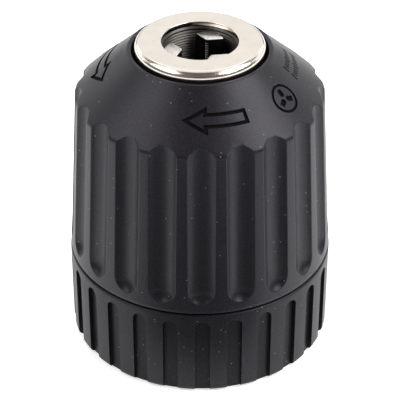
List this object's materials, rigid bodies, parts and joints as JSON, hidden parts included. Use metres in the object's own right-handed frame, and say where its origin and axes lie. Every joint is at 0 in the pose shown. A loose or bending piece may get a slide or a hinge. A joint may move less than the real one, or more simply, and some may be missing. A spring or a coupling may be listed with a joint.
{
  "type": "drill chuck",
  "caption": "Keyless drill chuck with a fluted front sleeve that turns a split nut to slide slanted jaws, a slotted rear sleeve and a bright nosepiece.",
  "frame": {"origin": "on the chuck's axis, at the plane of the rear sleeve's resting rim", "axes": "+Z along the chuck's axis towards the nose, -Y towards the viewer of the reference view"},
  "size_m": [0.0482, 0.0482, 0.0592],
  "materials": {
    "grip_plastic": "moulded, fine texture",
    "nickel": "nickel plated, polished",
    "body_steel": "turned",
    "jaw_steel": "ground",
    "nut_steel": "hardened, oiled",
    "race_steel": "ground",
    "ball_steel": "polished",
    "cage_brass": "stamped"
  },
  "bodies": {
    "frame": {"chuck_body": "body_steel", "nosepiece": "nickel", "rear_sleeve": "grip_plastic", "rear_cover": "race_steel", "rear_race": "race_steel"},
    "sleeve": {"front_sleeve": "grip_plastic", "nut_half_1": "nut_steel", "nut_half_2": "nut_steel", "nut_band": "race_steel", "front_race": "race_steel"},
    "cage": {"ball_cage": "cage_brass", "ball_1": "ball_steel", "ball_2": "ball_steel", "ball_3": "ball_steel", "ball_4": "ball_steel", "ball_5": "ball_steel", "ball_6": "ball_steel", "ball_7": "ball_steel", "ball_8": "ball_steel", "ball_9": "ball_steel", "ball_10": "ball_steel", "ball_11": "ball_steel", "ball_12": "ball_steel"},
    "jaw_1": {"jaw_1": "jaw_steel"},
    "jaw_2": {"jaw_2": "jaw_steel"},
    "jaw_3": {"jaw_3": "jaw_steel"}
  },
  "joints": [
    {"name": "sleeve_spin", "type": "hinge", "parent": "frame", "child": "sleeve", "pos_m": [0, 0, 0.036], "axis": [0, 0, 1], "range_deg": [-1595, 2395]},
    {"name": "cage_spin", "type": "hinge", "parent": "frame", "child": "cage", "pos_m": [0, 0, 0.028], "axis": [0, 0, 1], "range_deg": [-800, 1200]},
    {"name": "jaw_1_slide", "type": "slide", "parent": "frame", "child": "jaw_1", "axis": [-0.097, -0.24, 0.9659], "range_m": [-0.01333, 0.00889]},
    {"name": "jaw_2_slide", "type": "slide", "parent": "frame", "child": "jaw_2", "axis": [0.2563, 0.036, 0.9659], "range_m": [-0.01333, 0.00889]},
    {"name": "jaw_3_slide", "type": "slide", "parent": "frame", "child": "jaw_3", "axis": [-0.1593, 0.204, 0.9659], "range_m": [-0.01333, 0.00889]}
  ],
  "couplings": [
    {"joint": "cage_spin", "follows": "sleeve_spin", "ratio": 0.5},
    {"joint": "jaw_1_slide", "follows": "sleeve_spin", "m_per_rad": -0.00031831},
    {"joint": "jaw_2_slide", "follows": "sleeve_spin", "m_per_rad": -0.00031831},
    {"joint": "jaw_3_slide", "follows": "sleeve_spin", "m_per_rad": -0.00031831}
  ]
}
